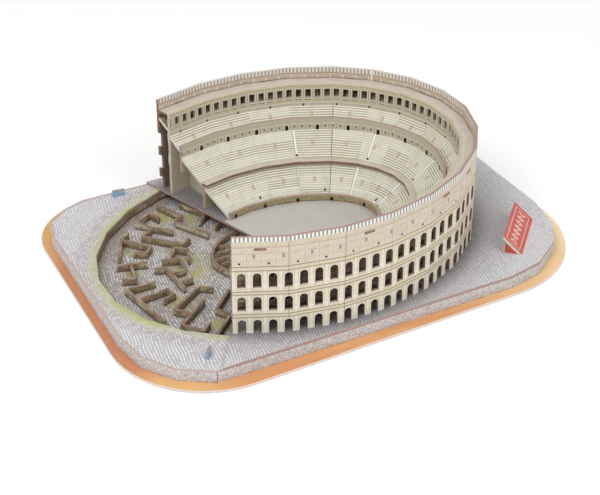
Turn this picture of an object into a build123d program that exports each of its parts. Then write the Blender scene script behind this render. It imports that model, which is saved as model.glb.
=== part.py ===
"""Foam-board model of a ruined oval amphitheatre on a display base.

The lower half is a shallow tray: a printed base plate, a skirt of upright boards, a rim
board with a pit cut in it and the low ruin walls that stand in the pit. The upper half
is a cover plate with a V-shaped cut, which carries the arena building: outer wall,
corridor wall, gallery roof, seating tiers and the boards that hold them up. The upper
half lies loosely on the lower one and lifts straight off it.

Millimetres, +Z up, origin at the centre of the underside of the base plate. +X runs
along the long side and -Y is the front.
"""

import os
from math import atan2, ceil, cos, degrees, hypot, radians, sin

from build123d import *

os.makedirs("parts", exist_ok=True)

# ---------------------------------------------------------------- driving dimensions
BOARD = 2.0  # thickness of every foam board
FIT = 0.1  # play between boards that touch
LIFT_PLAY = 0.2  # play under the loose cover plate

BASE_CORNERS = ((-184.0, -133.4), (183.65, -119.2), (176.85, 130.63), (-175.6, 129.83))
BASE_RADII = (71.0, 78.0, 62.0, 50.0)

# outline of the tray, counter-clockwise from the front left corner
TRAY = (
    (-131.0, -119.5),
    (103.0, -115.5),
    (130.0, -109.5),
    (154.5, -91.5),
    (167.5, -69.0),
    (172.0, -40.0),
    (168.0, 36.0),
    (161.0, 66.0),
    (146.0, 91.0),
    (121.0, 110.0),
    (94.0, 118.0),
    (-132.0, 120.5),
    (-149.5, 114.5),
    (-165.5, 102.0),
    (-171.0, 82.0),
    (-174.5, -53.0),
    (-170.0, -81.0),
    (-154.5, -104.5),
)
SKIRT_HEIGHT = 8.6
FRONT_LINK = 26.5  # length of the short skirt board beside the joint of the two halves
FRONT_GAP = 0.6  # open gap at the left end of that board

OVAL_CENTRE = (-17.3, 2.4)
OVAL_A = 144.2  # half length of the outer wall's oval
OVAL_B = 113.1  # half width of the outer wall's oval
WALL_START = -127.1  # angle of the outer wall's front end
PITCH = 10.58  # arch spacing

FIRST_ARCH = 6.3
FRONT_FACETS = [FIRST_ARCH + 3 * PITCH, 39.5, 36.4, 36.4, 36.4, 36.5]
END_FACETS = [30.3] * 5
BACK_FACETS = [30.3, 36.4, 36.0, 35.0, 40.1]
END_CUT = (0.407, -0.913)  # direction in which the building's back end is cut off
END_ARCHES = 14  # arch spacings in the end panel
BACK_ARCHES = 17.5  # arch spacings in the back panel, which ends half way through an arch
PIT_FACETS = 8

WALL_HEIGHT = 77.6
ARCH_WIDTH = 5.6
ARCH_ROWS = ((0.0, 10.9), (18.5, 11.3), (37.4, 11.6))  # sill height and opening height
CORRIDOR_ARCH_WIDTH = 5.0
WINDOW_PITCH = 7.9
WINDOW_SIZE = (4.6, 7.2)
WINDOW_SILL = 57.6
END_STRIP = 4.0  # a corridor wall has no opening nearer than this to its ends
PLAIN_END = 22.0  # no arch is cut in this much of the corridor wall's back end
SILL_PLAY = 1.0  # ground-floor openings are cut through the wall's foot

# steps of the building's section: distance in from the wall's face, height over the plate
CORRIDOR = (10.4, 12.4)
CORRIDOR_HEIGHT = 69.0
ROOF = (2.1, 10.3)
ROOF_LEVEL = 67.0
ROOF_TAB = 8.0
TAB_FACETS = (0, 2, 4, 5, 7, 9, 11, 13, 15)  # wall facets that a roof tab goes through
GALLERY = ((2.15, 63.0), (10.25, 56.3))
UPPER_TIER = ((12.5, 50.4), (21.1, 42.4))
BELT_WALL = (21.2, 23.2)
BELT_LEVELS = (23.0, 45.4)
MIDDLE_TIER = ((23.3, 35.5), (41.8, 21.2))
LEDGE = (41.9, 47.2)
LEDGE_LEVEL = 19.2
LEDGE_WALL = (43.0, 45.0)
LOWER_TIER = ((45.1, 17.5), (67.9, 1.7))
PODIUM = (68.0, 70.0)
PODIUM_HEIGHT = 5.6

V_POINT = (-40.2, 15.2)
V_BACK = (-79.5, 119.9)
V_FRONT = (-126.4, -119.4)
PIT_CLOSE = -20.0  # the pit opening ends at this x, under the cover plate

RUIN_HEIGHT = 5.6
RING_A = 59.5  # half length of the basement ring's oval
RING_B = 37.5  # half width of the basement ring's oval
RING_FROM = 115.0  # angle at which the basement ring starts
RING_STEP = 12.5
RING_FACETS = 11
SLATS = 6
SLAT_PITCH = 7.0
SLAT_END = -26.0  # the slats end at this x, under the cover plate

PLAQUE_FOOT = (112.7, -86.5)
PLAQUE_END = (146.0, -50.2)
PLAQUE_DEPTH = 14.6
PLAQUE_HEIGHT = 13.4
SIGN_HEIGHT = 5.2

BASE_TOP = BOARD
RIM_TOP = BASE_TOP + SKIRT_HEIGHT
PLATE_BOTTOM = RIM_TOP + LIFT_PLAY
FLOOR = PLATE_BOTTOM + BOARD  # top of the cover plate


# ---------------------------------------------------------------- shared geometry
def keep(part, name):
    """Label a finished piece and write it."""
    part.label = name
    export_step(part, f"parts/{name}.step")


def on_oval(angle, a=OVAL_A, b=OVAL_B):
    """Point of an oval about the building's centre, at an angle in degrees."""
    x = OVAL_CENTRE[0] + a * cos(radians(angle))
    y = OVAL_CENTRE[1] + b * sin(radians(angle))
    return (x, y)


def next_angle(angle, chord):
    """Angle of the oval point that lies one chord further round, counter-clockwise."""
    start = on_oval(angle)
    low = angle
    high = angle + 60.0
    for _ in range(40):
        middle = (low + high) / 2
        point = on_oval(middle)
        if hypot(point[0] - start[0], point[1] - start[1]) < chord:
            low = middle
        else:
            high = middle
    return low


def walk(angle, chords):
    """Angles of the folds met when the chords are laid round the oval."""
    angles = [angle]
    for chord in chords:
        angles.append(next_angle(angles[-1], chord))
    return angles


def inward_normals(points):
    """For each fold, the inward vector that moves both its facets in by 1 mm."""
    facet_normals = []
    for (x0, y0), (x1, y1) in zip(points, points[1:]):
        length = hypot(x1 - x0, y1 - y0)
        facet_normals.append((-(y1 - y0) / length, (x1 - x0) / length))
    normals = [facet_normals[0]]
    for (ax, ay), (bx, by) in zip(facet_normals, facet_normals[1:]):
        scale = 1 + ax * bx + ay * by
        normals.append(((ax + bx) / scale, (ay + by) / scale))
    normals.append(facet_normals[-1])
    return normals


def inset(points, normals, index, distance):
    """Fold number index, moved in by a distance."""
    x, y = points[index]
    nx, ny = normals[index]
    return (x + nx * distance, y + ny * distance)


def strip(points, normals, first, last, near, far):
    """Closed outline of a folded strip between two distances from the folded line."""
    there = [inset(points, normals, i, near) for i in range(first, last + 1)]
    back = [inset(points, normals, i, far) for i in range(last, first - 1, -1)]
    return there + back


WALL_CHORDS = FRONT_FACETS + END_FACETS + BACK_FACETS
WALL_ANGLES = walk(WALL_START, WALL_CHORDS)
WALL = [on_oval(angle) for angle in WALL_ANGLES]
WALL_IN = inward_normals(WALL)
cut_reach = END_CUT[0] * WALL_IN[-1][0] + END_CUT[1] * WALL_IN[-1][1]
WALL_IN[-1] = (END_CUT[0] / cut_reach, END_CUT[1] / cut_reach)
FRONT_END = len(FRONT_FACETS)
BACK_START = FRONT_END + len(END_FACETS)
LAST = len(WALL_CHORDS)
HALF_WAY = BACK_START + 1  # fold at which the seating boards meet
WALL_PANELS = {
    "front": (0, FRONT_END),
    "end": (FRONT_END, BACK_START),
    "back": (BACK_START, LAST),
}
HALVES = {"front": (0, HALF_WAY), "back": (HALF_WAY, LAST)}


def wall_plane(first, last, along, depth, height):
    """Plane on a wall panel: x along the panel, y up, z out of the building."""
    left = along
    index = first
    while index < last - 1 and left > WALL_CHORDS[index]:
        left -= WALL_CHORDS[index]
        index += 1
    share = left / WALL_CHORDS[index]
    x0, y0 = inset(WALL, WALL_IN, index, depth)
    x1, y1 = inset(WALL, WALL_IN, index + 1, depth)
    direction = Vector(x1 - x0, y1 - y0, 0)
    if share > 1 - 1e-3 and index < last - 1:
        nx, ny = WALL_IN[index + 1]
        direction = Vector(ny, -nx, 0)
    origin = (x0 + (x1 - x0) * share, y0 + (y1 - y0) * share, FLOOR + height)
    return Plane(origin=origin, x_dir=direction, z_dir=direction.cross(Vector(0, 0, 1)))


def panel_length(first, last):
    return sum(WALL_CHORDS[first:last])


def standing_board(name, outline, bottom, height):
    """Folded board that stands upright: its plan, pulled up."""
    with BuildPart() as board:
        with BuildSketch(Plane.XY.offset(bottom)):
            with BuildLine():
                Polyline(*outline, close=True)
            make_face()
        extrude(amount=height)
    keep(board.part, name)


def sloping_board(name, first, last, section):
    """Folded board whose section is the same polygon at every fold."""
    with BuildPart() as board:
        for index in range(first, last):
            for fold in (index, index + 1):
                nx, ny = WALL_IN[fold]
                stretch = hypot(nx, ny)
                plane = Plane(
                    origin=(*WALL[fold], FLOOR),
                    x_dir=(nx, ny, 0),
                    z_dir=(ny, -nx, 0),
                )
                with BuildSketch(plane):
                    with BuildLine():
                        Polyline(*[(d * stretch, z) for d, z in section], close=True)
                    make_face()
            loft(ruled=True)
    keep(board.part, name)


def sloping_section(top, drop):
    """Section of a sloping board with upright ends, from its top line."""
    (d0, z0), (d1, z1) = top
    return [(d0, z0), (d1, z1), (d1, z1 - drop), (d0, z0 - drop)]


def upright_thickness(top):
    """Height of a cut straight down through a sloping board."""
    (d0, z0), (d1, z1) = top
    return BOARD * hypot(d1 - d0, z1 - z0) / (d1 - d0)


# ---------------------------------------------------------------- tray: base and rim
with BuildPart() as base_plate:
    with BuildSketch() as base_outline:
        with BuildLine():
            Polyline(*BASE_CORNERS, close=True)
        make_face()
        for corner, radius in zip(BASE_CORNERS, BASE_RADII):
            spot = base_outline.vertices().sort_by_distance((*corner, 0))[0]
            fillet(spot, radius=radius)
    extrude(amount=BOARD)
keep(base_plate.part, "base_plate")

PIT_START = WALL_ANGLES[-1]
PIT_SPAN = WALL_START + 360 - PIT_START
pit_angles = [PIT_START + PIT_SPAN * i / PIT_FACETS for i in range(PIT_FACETS + 1)]
pit_folds = [on_oval(angle) for angle in pit_angles]
oval_folds = pit_folds[:-1] + WALL[:-1]

with BuildPart() as rim_board:
    with BuildSketch(Plane.XY.offset(RIM_TOP - BOARD)):
        with BuildLine():
            Polyline(*TRAY, close=True)
        make_face()
        offset(amount=-(BOARD + FIT), kind=Kind.INTERSECTION, mode=Mode.REPLACE)
        with BuildSketch(mode=Mode.PRIVATE) as pit:
            with BuildLine():
                Polyline(*oval_folds, close=True)
            make_face()
            with Locations((PIT_CLOSE, 0)):
                Rectangle(OVAL_A, 3 * OVAL_B, align=(Align.MAX, Align.CENTER), mode=Mode.INTERSECT)
        add(pit.sketch, mode=Mode.SUBTRACT)
    extrude(amount=BOARD)
keep(rim_board.part, "rim_board")

# ---------------------------------------------------------------- tray: skirt boards
tray_ring = list(TRAY) + [TRAY[0], TRAY[1]]
tray_in = inward_normals(tray_ring)
tray_in[0] = tray_in[len(TRAY)]


def along_front(distance, depth):
    """Point of the tray's front edge, a distance from its left end."""
    (x0, y0), (x1, y1) = TRAY[0], TRAY[1]
    length = hypot(x1 - x0, y1 - y0)
    dx, dy = (x1 - x0) / length, (y1 - y0) / length
    return (x0 + dx * distance - dy * depth, y0 + dy * distance + dx * depth)


def skirt_outline(first, last):
    return strip(tray_ring, tray_in, first, last, 0, BOARD)


link_near = [along_front(FRONT_GAP, 0), along_front(FRONT_LINK, 0)]
link_far = [along_front(FRONT_LINK, BOARD), along_front(FRONT_GAP, BOARD)]
front_near = [along_front(FRONT_LINK + FIT, 0), inset(tray_ring, tray_in, 1, 0)]
front_far = [inset(tray_ring, tray_in, 1, BOARD), along_front(FRONT_LINK + FIT, BOARD)]
standing_board("skirt_front_link", link_near + link_far, BASE_TOP, SKIRT_HEIGHT)
standing_board("skirt_front", front_near + front_far, BASE_TOP, SKIRT_HEIGHT)
standing_board("skirt_right", skirt_outline(1, 6), BASE_TOP, SKIRT_HEIGHT)
standing_board("skirt_back_right", skirt_outline(6, 10), BASE_TOP, SKIRT_HEIGHT)
standing_board("skirt_back", skirt_outline(10, 11), BASE_TOP, SKIRT_HEIGHT)
standing_board("skirt_left", skirt_outline(11, 16), BASE_TOP, SKIRT_HEIGHT)
standing_board("skirt_front_left", skirt_outline(16, 18), BASE_TOP, SKIRT_HEIGHT)

# ---------------------------------------------------------------- tray: pit walls
pit_line = [WALL[-2]] + pit_folds + [WALL[1]]
pit_in = inward_normals(pit_line)
pit_middle = 1 + PIT_FACETS // 2
pit_wall_height = SKIRT_HEIGHT - BOARD
back_outline = strip(pit_line, pit_in, 0, pit_middle, -BOARD, 0)
front_outline = strip(pit_line, pit_in, pit_middle, len(pit_line) - 1, -BOARD, 0)
standing_board("pit_wall_back", back_outline, BASE_TOP, pit_wall_height)
standing_board("pit_wall_front", front_outline, BASE_TOP, pit_wall_height)

# ---------------------------------------------------------------- tray: ruin walls
# Each ruin is one or more folded strips; a later strip butts against the earlier ones.
RUINS = {
    "ruin_a": [[(-82, 94), (-72, 71), (-79, 67)]],
    "ruin_b": [[(-66, 88), (-53, 66), (-63, 58)]],
    "ruin_c": [[(-88, 76), (-92, 86), (-106, 77), (-86, 55)]],
    "ruin_d": [[(-99, 65), (-109, 58), (-87, 36), (-79, 40)]],
    "ruin_e": [
        [(-79, 65.2), (-64, 40)],
        [(-55, 47), (-48, 51)],
    ],
    "ruin_f": [
        [(-136, 38), (-125, 61), (-117, 67)],
        [(-125, 61), (-109, 43), (-115, 37), (-123, 42)],
    ],
    "ruin_g": [
        [(-141, 31), (-119, 25)],
        [(-131, 28), (-135, 10), (-144, 13)],
    ],
    "ruin_h": [
        [(-98, 28), (-94, 34), (-86, 27), (-91, 15)],
        [(-109, 23), (-96, 19), (-98, 6)],
    ],
    "ruin_i": [
        [(-118, 15), (-110, 13), (-108, -16)],
        [(-109.3, 4), (-98, 5)],
        [(-108.5, -9), (-98, -8)],
    ],
    "ruin_j": [
        [(-124, 0), (-146, 0), (-143, -15), (-137, -47)],
        [(-143, -15), (-120, -12), (-118, -20), (-127, -23)],
    ],
    "ruin_k": [[(-90, -25), (-98, -19), (-125, -37), (-117, -46)]],
    "ruin_l": [[(-102, -36), (-128, -56), (-117, -69), (-110, -62)]],
    "ruin_m": [
        [(-81, -32), (-99, -50), (-93, -59)],
        [(-111, -77), (-94, -61)],
    ],
}


def ruin(name, strips):
    with BuildPart() as walls:
        earlier = []
        for line in strips:
            with BuildSketch(Plane.XY.offset(BASE_TOP)):
                with BuildLine():
                    Polyline(*line)
                trace(line_width=BOARD)
                for other in earlier:
                    with BuildSketch(mode=Mode.PRIVATE) as keep_clear:
                        with BuildLine():
                            Polyline(*other)
                        trace(line_width=BOARD + FIT)
                    add(keep_clear.sketch, mode=Mode.SUBTRACT)
            extrude(amount=RUIN_HEIGHT)
            earlier.append(line)
    keep(walls.part, name)


for ruin_name, ruin_strips in RUINS.items():
    ruin(ruin_name, ruin_strips)

ring_angles = [RING_FROM + RING_STEP * i for i in range(RING_FACETS + 1)]
ring_line = [on_oval(angle, RING_A, RING_B) for angle in ring_angles]
ring_in = inward_normals(ring_line)
ring_outline = strip(ring_line, ring_in, 0, RING_FACETS, 0, BOARD)
standing_board("basement_ring", ring_outline, BASE_TOP, RUIN_HEIGHT)

slat_clearance = BOARD + 2.0
with BuildPart() as basement_slats:
    for number in range(SLATS):
        aside = (number - (SLATS - 1) / 2) * SLAT_PITCH
        edge = min(aside + BOARD, aside - BOARD, key=lambda y: -abs(y))
        slat_start = OVAL_CENTRE[0] - RING_A * (1 - (edge / RING_B) ** 2) ** 0.5 + slat_clearance
        with BuildSketch(Plane.XY.offset(BASE_TOP)):
            with Locations((slat_start, OVAL_CENTRE[1] + aside)):
                Rectangle(SLAT_END - slat_start, BOARD, align=(Align.MIN, Align.CENTER))
        extrude(amount=RUIN_HEIGHT)
keep(basement_slats.part, "basement_slats")

# ---------------------------------------------------------------- tray: small signs
SIGN_FEET = (
    ((-110.0, 114.3), (-100.6, 113.3)),
    ((-130.8, -103.4), (-125.4, -96.5)),
)
with BuildPart() as signs:
    for (x0, y0), (x1, y1) in SIGN_FEET:
        turn = degrees(atan2(y1 - y0, x1 - x0))
        middle = ((x0 + x1) / 2, (y0 + y1) / 2, RIM_TOP)
        with BuildSketch(Plane(origin=middle).rotated((0, 0, turn))):
            Rectangle(hypot(x1 - x0, y1 - y0), BOARD)
        extrude(amount=SIGN_HEIGHT)
keep(signs.part, "signs")

# ---------------------------------------------------------------- cover plate
cover_outline = [V_POINT, V_FRONT] + list(TRAY[1:11]) + [V_BACK]
standing_board("cover_plate", cover_outline, PLATE_BOTTOM, BOARD)


# ---------------------------------------------------------------- outer and corridor walls
def arch_tool(width, opening, bottom_play):
    """Round-headed punch, centred on the board, its foot on the local x axis."""
    with BuildPart() as punch:
        with BuildSketch():
            with BuildLine():
                side = width / 2
                spring = opening - side
                Line((-side, -bottom_play), (side, -bottom_play))
                Line((side, -bottom_play), (side, spring))
                ThreePointArc((side, spring), (0, opening), (-side, spring))
                Line((-side, spring), (-side, -bottom_play))
            make_face()
        extrude(amount=2 * BOARD, both=True)
    return punch.part


PANEL_PITCH = {
    "front": PITCH,
    "end": sum(END_FACETS) / END_ARCHES,
    "back": sum(BACK_FACETS) / BACK_ARCHES,
}


def arch_places(panel):
    """Distances along a panel at which its arches stand."""
    pitch = PANEL_PITCH[panel]
    start = FIRST_ARCH if panel == "front" else pitch / 2
    count = ceil((panel_length(*WALL_PANELS[panel]) - start + FIT) / pitch)
    return [start + pitch * i for i in range(count)]


FRONT_OVERLAP = 1.6  # the front panel's end stands out past the fold


def wall_tip(near, far, extra):
    """Plan of the front panel's end where it runs on past the fold."""
    corner = WALL[FRONT_END]
    before = WALL[FRONT_END - 1]
    length = hypot(corner[0] - before[0], corner[1] - before[1])
    dx = (corner[0] - before[0]) / length
    dy = (corner[1] - before[1]) / length
    reach = FRONT_OVERLAP + extra
    points = []
    for along, depth in ((-BOARD, near), (reach, near), (reach, far), (-BOARD, far)):
        points.append((corner[0] + dx * along - dy * depth, corner[1] + dy * along + dx * depth))
    return points


for panel, (first, last) in WALL_PANELS.items():
    with BuildPart() as outer_wall:
        with BuildSketch(Plane.XY.offset(FLOOR)):
            with BuildLine():
                Polyline(*strip(WALL, WALL_IN, first, last, 0, BOARD), close=True)
            make_face()
            if panel == "front":
                with BuildLine():
                    Polyline(*wall_tip(0, BOARD, 0), close=True)
                make_face()
            if panel == "end":
                with BuildLine():
                    Polyline(*wall_tip(-1, BOARD + FIT, FIT), close=True)
                make_face(mode=Mode.SUBTRACT)
        extrude(amount=WALL_HEIGHT)
        for sill, opening in ARCH_ROWS:
            punch = arch_tool(ARCH_WIDTH, opening, SILL_PLAY if sill == 0 else 0)
            planes = [wall_plane(first, last, u, BOARD / 2, sill) for u in arch_places(panel)]
            with Locations(*planes):
                add(punch, mode=Mode.SUBTRACT)
        tab_planes = []
        for index in sorted(set(TAB_FACETS) & set(range(first, last))):
            centre = sum(WALL_CHORDS[first:index]) + WALL_CHORDS[index] / 2
            tab_planes.append(wall_plane(first, last, centre, BOARD / 2, ROOF_LEVEL + BOARD / 2))
        with Locations(*tab_planes):
            Box(ROOF_TAB + 2 * FIT, BOARD + 2 * FIT, 2 * BOARD, mode=Mode.SUBTRACT)
    keep(outer_wall.part, f"outer_wall_{panel}")

for panel, (first, last) in WALL_PANELS.items():
    with BuildPart() as corridor_wall:
        with BuildSketch(Plane.XY.offset(FLOOR)):
            with BuildLine():
                Polyline(*strip(WALL, WALL_IN, first, last, *CORRIDOR), close=True)
            make_face()
        extrude(amount=CORRIDOR_HEIGHT)
        depth = (CORRIDOR[0] + CORRIDOR[1]) / 2
        length = panel_length(first, last)
        for sill, opening in ARCH_ROWS:
            punch = arch_tool(CORRIDOR_ARCH_WIDTH, opening, SILL_PLAY if sill == 0 else 0)
            limit = length - (PLAIN_END if panel == "back" else END_STRIP)
            places = [u for u in arch_places(panel) if END_STRIP < u < limit]
            with Locations(*[wall_plane(first, last, u, depth, sill) for u in places]):
                add(punch, mode=Mode.SUBTRACT)
        start = END_STRIP if panel == "front" else 0
        end = length - (END_STRIP if panel == "back" else 0)
        count = round((end - start) / WINDOW_PITCH)
        spots = [start + (end - start) * (i + 0.5) / count for i in range(count)]
        level = WINDOW_SILL + WINDOW_SIZE[1] / 2
        windows = [wall_plane(first, last, u, depth, level) for u in spots]
        with Locations(*windows):
            Box(*WINDOW_SIZE, 2 * BOARD, mode=Mode.SUBTRACT)
    keep(corridor_wall.part, f"corridor_wall_{panel}")

# ---------------------------------------------------------------- roof, tiers and ledges
for half, (first, last) in HALVES.items():
    with BuildPart() as roof:
        with BuildSketch(Plane.XY.offset(FLOOR + ROOF_LEVEL)):
            with BuildLine():
                Polyline(*strip(WALL, WALL_IN, first, last, *ROOF), close=True)
            make_face()
            for index in sorted(set(TAB_FACETS) & set(range(first, last))):
                x0, y0 = WALL[index]
                x1, y1 = WALL[index + 1]
                turn = degrees(atan2(y1 - y0, x1 - x0))
                middle = ((x0 + x1) / 2, (y0 + y1) / 2)
                with Locations(Location(middle, (0, 0, turn))):
                    Rectangle(ROOF_TAB, ROOF[0] + 1, align=(Align.CENTER, Align.MIN))
        extrude(amount=BOARD)
    keep(roof.part, f"gallery_roof_{half}")

    gallery = sloping_section(GALLERY, upright_thickness(GALLERY))
    sloping_board(f"gallery_stair_{half}", first, last, gallery)
    upper = sloping_section(UPPER_TIER, upright_thickness(UPPER_TIER))
    sloping_board(f"upper_tier_{half}", first, last, upper)
    middle = sloping_section(MIDDLE_TIER, upright_thickness(MIDDLE_TIER))
    sloping_board(f"middle_tier_{half}", first, last, middle)

    (d0, z0), (d1, z1) = LOWER_TIER
    drop = upright_thickness(LOWER_TIER)
    slope = (z0 - z1) / (d1 - d0)
    toe = d0 + (z0 - drop - FIT) / slope
    lower = [(d0, z0), (d1, z1), (d1, FIT), (toe, FIT), (d0, z0 - drop)]
    sloping_board(f"lower_tier_{half}", first, last, lower)

    belt = strip(WALL, WALL_IN, first, last, *BELT_WALL)
    standing_board(f"belt_wall_{half}", belt, FLOOR + BELT_LEVELS[0], BELT_LEVELS[1] - BELT_LEVELS[0])
    ledge = strip(WALL, WALL_IN, first, last, *LEDGE)
    standing_board(f"ledge_{half}", ledge, FLOOR + LEDGE_LEVEL, BOARD)
    ledge_wall = strip(WALL, WALL_IN, first, last, *LEDGE_WALL)
    standing_board(f"ledge_wall_{half}", ledge_wall, FLOOR, LEDGE_LEVEL - FIT)
    podium = strip(WALL, WALL_IN, first, last, *PODIUM)
    standing_board(f"podium_{half}", podium, FLOOR, PODIUM_HEIGHT)

# ---------------------------------------------------------------- ribs under the tiers
upper_drop = upright_thickness(UPPER_TIER) + 2 * FIT
middle_drop = upright_thickness(MIDDLE_TIER) + 2 * FIT
rib_section = [
    (UPPER_TIER[0][0] + FIT, 0),
    (UPPER_TIER[0][0] + FIT, UPPER_TIER[0][1] - upper_drop),
    (BELT_WALL[0] - 2 * FIT, UPPER_TIER[1][1] - upper_drop),
    (BELT_WALL[0] - 2 * FIT, BELT_LEVELS[0] - FIT),
    (BELT_WALL[1] + 2 * FIT, BELT_LEVELS[0] - FIT),
    (BELT_WALL[1] + 2 * FIT, MIDDLE_TIER[0][1] - middle_drop),
    (LEDGE[0] - FIT, MIDDLE_TIER[1][1] - middle_drop),
    (LEDGE_WALL[0] - FIT, MIDDLE_TIER[1][1] - middle_drop),
    (LEDGE_WALL[0] - FIT, 0),
]
with BuildPart() as ribs:
    for index in range(LAST):
        plane = wall_plane(index, index + 1, WALL_CHORDS[index] / 2, 0, 0)
        rib_plane = Plane(origin=plane.origin, x_dir=-plane.z_dir, z_dir=plane.x_dir)
        with BuildSketch(rib_plane):
            with BuildLine():
                Polyline(*[(d, z) for d, z in rib_section], close=True)
            make_face()
        extrude(amount=BOARD / 2, both=True)
keep(ribs.part, "ribs")

# ---------------------------------------------------------------- wedge-shaped plaque
foot_x, foot_y = PLAQUE_FOOT
plaque_length = hypot(PLAQUE_END[0] - foot_x, PLAQUE_END[1] - foot_y)
plaque_along = Vector(PLAQUE_END[0] - foot_x, PLAQUE_END[1] - foot_y, 0).normalized()
plaque_across = Vector(plaque_along.Y, -plaque_along.X, 0)
face_length = hypot(PLAQUE_DEPTH, PLAQUE_HEIGHT)
toe_cut = BOARD * face_length / PLAQUE_HEIGHT
ridge_cut = BOARD * face_length / PLAQUE_DEPTH
under_ridge = PLAQUE_HEIGHT - ridge_cut - BOARD * PLAQUE_HEIGHT / PLAQUE_DEPTH


def plaque_board(name, section, spans):
    """Prisms with one cross-section, each spanning from one distance to another."""
    with BuildPart() as board:
        for start, end in spans:
            origin = Vector(foot_x, foot_y, FLOOR) + plaque_along * start
            plane = Plane(origin=origin, x_dir=plaque_across, z_dir=-plaque_along)
            with BuildSketch(plane):
                with BuildLine():
                    Polyline(*section, close=True)
                make_face()
            extrude(amount=-(end - start))
    keep(board.part, name)


face_section = [
    (0, PLAQUE_HEIGHT),
    (PLAQUE_DEPTH, 0),
    (PLAQUE_DEPTH - toe_cut, 0),
    (0, PLAQUE_HEIGHT - ridge_cut),
]
back_section = [(0, 0), (BOARD, 0), (BOARD, under_ridge - FIT), (0, under_ridge - FIT)]
end_section = [
    (BOARD + FIT, 0),
    (PLAQUE_DEPTH - toe_cut - 2 * FIT, 0),
    (BOARD + FIT, under_ridge - 3 * FIT),
]
plaque_board("plaque_face", face_section, [(0, plaque_length)])
plaque_board("plaque_back", back_section, [(0, plaque_length)])
plaque_board("plaque_ends", end_section, [(0, BOARD), (plaque_length - BOARD, plaque_length)])
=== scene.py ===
"""Looks of the foam-board amphitheatre: boards with printed faces and bare foam edges.

The boards that carry a running print (walls, seats, ledges) are rebuilt as meshes with their
own print coordinates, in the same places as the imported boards. The other boards are the packed
ones with better materials.
"""

from math import cos, hypot, pi, radians, sin

import bpy
from mathutils import Matrix, Vector


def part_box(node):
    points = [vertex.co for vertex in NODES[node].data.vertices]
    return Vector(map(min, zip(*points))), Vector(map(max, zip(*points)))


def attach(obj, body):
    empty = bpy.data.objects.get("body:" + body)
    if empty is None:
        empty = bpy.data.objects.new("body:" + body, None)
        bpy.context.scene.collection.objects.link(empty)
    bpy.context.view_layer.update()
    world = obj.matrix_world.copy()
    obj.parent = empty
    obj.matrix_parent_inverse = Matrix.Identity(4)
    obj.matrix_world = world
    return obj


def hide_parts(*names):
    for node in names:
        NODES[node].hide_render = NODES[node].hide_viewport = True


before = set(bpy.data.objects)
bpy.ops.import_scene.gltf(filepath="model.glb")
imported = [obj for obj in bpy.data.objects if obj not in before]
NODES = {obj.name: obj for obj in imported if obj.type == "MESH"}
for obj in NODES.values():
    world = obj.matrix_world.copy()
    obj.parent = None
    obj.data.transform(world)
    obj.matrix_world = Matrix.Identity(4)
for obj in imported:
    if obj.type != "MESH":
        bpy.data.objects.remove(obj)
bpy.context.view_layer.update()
MM = 0.001

# ------------------------------------------------------------------ the building's plan, mm
BOARD = 2.0
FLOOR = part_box("cover_plate")[1].z / MM
OVAL_CENTRE = (-17.3, 2.4)
OVAL_A = 144.2
OVAL_B = 113.1
WALL_START = -127.1
PITCH = 10.58
FIRST_ARCH = 6.3
FRONT_FACETS = [FIRST_ARCH + 3 * PITCH, 39.5, 36.4, 36.4, 36.4, 36.5]
END_FACETS = [30.3] * 5
BACK_FACETS = [30.3, 36.4, 36.0, 35.0, 40.1]
END_CUT = (0.407, -0.913)
CHORDS = FRONT_FACETS + END_FACETS + BACK_FACETS
FRONT_END = len(FRONT_FACETS)
BACK_START = FRONT_END + len(END_FACETS)
LAST = len(CHORDS)
HALF_WAY = BACK_START + 1
PANELS = {"front": (0, FRONT_END), "end": (FRONT_END, BACK_START), "back": (BACK_START, LAST)}
HALVES = {"front": (0, HALF_WAY), "back": (HALF_WAY, LAST)}
PANEL_PITCH = {"front": PITCH, "end": sum(END_FACETS) / 14, "back": sum(BACK_FACETS) / 17.5}
WALL_HEIGHT = 77.6
ARCH_ROWS = ((0.0, 10.9), (18.5, 11.3), (37.4, 11.6))
ARCH_RADIUS = 2.8
CORRIDOR_RADIUS = 2.5
ATTIC_PITCH = 9.8
ATTIC_START = 5.1
WINDOW_PITCH = 7.9
WINDOW_HALF = 2.3
WINDOW_LEVELS = [57.6, 64.8]
END_STRIP = 4.0
PLAIN_END = 22.0
CORRIDOR = (10.4, 12.4)
CORRIDOR_HEIGHT = 69.0
ROOF = (2.1, 10.3)
ROOF_LEVEL = 67.0
ROOF_TAB = 8.0
FIT = 0.1
GALLERY = ((2.15, 63.0), (10.25, 56.3))
UPPER = ((12.5, 50.4), (21.1, 42.4))
BELT_WALL = (21.2, 23.2)
BELT_FOOT = 23.0
BELT_HEIGHT = 22.4
MIDDLE = ((23.3, 35.5), (41.8, 21.2))
LEDGE = (41.9, 47.2)
LEDGE_LEVEL = 19.2
LEDGE_WALL = (43.0, 45.0)
LOWER = ((45.1, 17.5), (67.9, 1.7))
PODIUM = (68.0, 70.0)
PODIUM_HEIGHT = 5.6
TAB_FACETS = (0, 2, 4, 5, 7, 9, 11, 13, 15)


def on_oval(angle):
    x = OVAL_CENTRE[0] + OVAL_A * cos(radians(angle))
    y = OVAL_CENTRE[1] + OVAL_B * sin(radians(angle))
    return (x, y)


def next_angle(angle, chord):
    x, y = on_oval(angle)
    low, high = angle, angle + 60
    for _ in range(40):
        middle = (low + high) / 2
        px, py = on_oval(middle)
        if hypot(px - x, py - y) < chord:
            low = middle
        else:
            high = middle
    return low


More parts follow.
